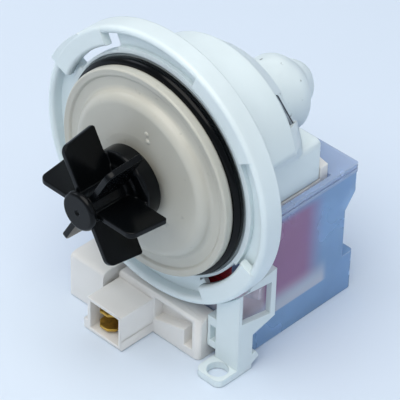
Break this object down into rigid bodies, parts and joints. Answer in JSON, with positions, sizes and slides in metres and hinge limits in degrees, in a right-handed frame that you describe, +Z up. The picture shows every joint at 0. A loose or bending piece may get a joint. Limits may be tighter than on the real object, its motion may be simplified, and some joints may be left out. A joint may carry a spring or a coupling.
{
  "type": "drain pump",
  "caption": "Washer drain pump: bayonet mounting ring, open impeller, synchronous motor with two coils under a frosted cover, plug socket and screw foot.",
  "frame": {"origin": "centre of the mounting ring's front plane, on the rotor axis", "axes": "-Y out of the ring towards the impeller, +Y back to the motor, +Z up, +X to the side of the screw foot"},
  "size_m": [0.08, 0.0843, 0.095],
  "materials": {
    "white_moulding": "satin",
    "cream_moulding": "satin",
    "socket_moulding": "satin",
    "dark_moulding": "satin",
    "black_rubber": "matte",
    "frosted_cover": "frosted",
    "core_steel": "laminated",
    "rivet_steel": "plain",
    "shaft_steel": "ground",
    "terminal_brass": "plain",
    "sintered_bronze": "matte",
    "taped_winding": "taped",
    "fuse_metal": "plain",
    "ferrite": "matte"
  },
  "bodies": {
    "housing": {"pump_flange": "white_moulding", "rotor_can": "cream_moulding", "flange_seal": "black_rubber", "rear_cap": "white_moulding", "stator_pole_left": "core_steel", "stator_pole_right": "core_steel", "stator_yoke": "core_steel", "core_rivets": "rivet_steel", "bobbin_left": "cream_moulding", "bobbin_right": "cream_moulding", "winding_left": "taped_winding", "winding_right": "taped_winding", "thermal_fuse": "fuse_metal", "terminal_carrier": "socket_moulding", "terminal_upper": "terminal_brass", "terminal_lower": "terminal_brass", "coil_cover": "frosted_cover", "mounting_foot": "white_moulding", "front_bearing": "sintered_bronze", "rear_bearing": "sintered_bronze", "front_cushion": "black_rubber", "rear_cushion": "black_rubber", "shaft_seal": "black_rubber"},
    "rotor": {"rotor_shaft": "shaft_steel", "magnet_carrier": "dark_moulding", "rotor_magnet": "ferrite", "drive_dog": "cream_moulding", "front_washer": "socket_moulding", "rear_washer": "socket_moulding"},
    "impeller": {"impeller": "dark_moulding"}
  },
  "joints": [
    {"name": "rotor_spin", "type": "hinge", "parent": "housing", "child": "rotor", "pos_m": [0, 0, 0], "axis": [0, -1, 0], "continuous": true},
    {"name": "impeller_free_turn", "type": "hinge", "parent": "rotor", "child": "impeller", "pos_m": [0, 0, 0], "axis": [0, -1, 0], "range_deg": [0, 176]}
  ]
}
